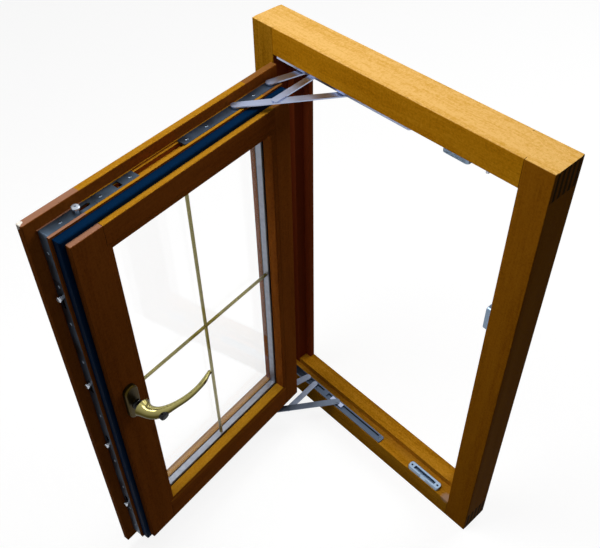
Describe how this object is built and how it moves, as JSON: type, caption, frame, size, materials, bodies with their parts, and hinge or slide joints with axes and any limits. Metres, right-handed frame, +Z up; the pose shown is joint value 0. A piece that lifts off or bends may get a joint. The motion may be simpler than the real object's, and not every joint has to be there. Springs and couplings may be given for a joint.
{
  "type": "stormproof casement window",
  "caption": "Side-hung timber casement window with double glazing, crossed glazing bars, friction stays, edge locking and a lever handle, its sash standing open.",
  "frame": {"origin": "middle of the frame's flat underside, midway between its outside and inside faces", "axes": "+X from the hinge jamb to the lock jamb, -Y to the outside, +Z up"},
  "size_m": [0.615, 0.6146, 0.952],
  "materials": {
    "frame_rail_timber": "satin oak-toned lacquer",
    "frame_jamb_timber": "satin oak-toned lacquer",
    "sash_rail_timber": "satin oak-toned lacquer",
    "sash_stile_timber": "satin oak-toned lacquer",
    "weather_seal": "matt",
    "window_glass": "clear float",
    "pane_spacer": "mill finish",
    "glazing_bar_brass": "satin brass",
    "stay_steel": "ferritic stainless",
    "faceplate_steel": "zinc plated",
    "cam_steel": "zinc plated",
    "keep_zinc": "bright zinc",
    "handle_brass": "polished brass",
    "handle_black": "gloss black"
  },
  "bodies": {
    "root": {"bottom_corner_cam": "cam_steel", "bottom_corner_drive": "faceplate_steel", "bottom_extension_plate": "faceplate_steel", "bottom_glazing_bead": "sash_rail_timber", "bottom_stay_link_arm": "stay_steel", "bottom_stay_long_arm": "stay_steel", "bottom_stay_sash_bar": "stay_steel", "bottom_stay_short_arm": "stay_steel", "bottom_stay_slider": "stay_steel", "bottom_stay_track": "stay_steel", "closing_glazing_bead": "sash_stile_timber", "espag_faceplate": "faceplate_steel", "frame_head": "frame_rail_timber", "frame_hinge_jamb": "frame_jamb_timber", "frame_lock_jamb": "frame_jamb_timber", "frame_sill": "frame_rail_timber", "handle_base": "handle_brass", "handle_collar": "handle_black", "handle_lever": "handle_brass", "handle_lock": "handle_black", "head_keep": "keep_zinc", "head_stud": "cam_steel", "hinge_glazing_bead": "sash_stile_timber", "horizontal_glazing_bar": "glazing_bar_brass", "inner_pane": "window_glass", "jamb_keep": "keep_zinc", "outer_pane": "window_glass", "pane_spacer": "pane_spacer", "sash_bottom_rail": "sash_rail_timber", "sash_closing_stile": "sash_stile_timber", "sash_hinge_stile": "sash_stile_timber", "sash_seal": "weather_seal", "sash_top_rail": "sash_rail_timber", "sill_keep": "keep_zinc", "stile_cams": "cam_steel", "top_corner_cam": "cam_steel", "top_corner_drive": "faceplate_steel", "top_extension_plate": "faceplate_steel", "top_glazing_bead": "sash_rail_timber", "top_stay_link_arm": "stay_steel", "top_stay_long_arm": "stay_steel", "top_stay_sash_bar": "stay_steel", "top_stay_short_arm": "stay_steel", "top_stay_slider": "stay_steel", "top_stay_track": "stay_steel", "vertical_glazing_bar": "glazing_bar_brass"}
  },
  "joints": []
}
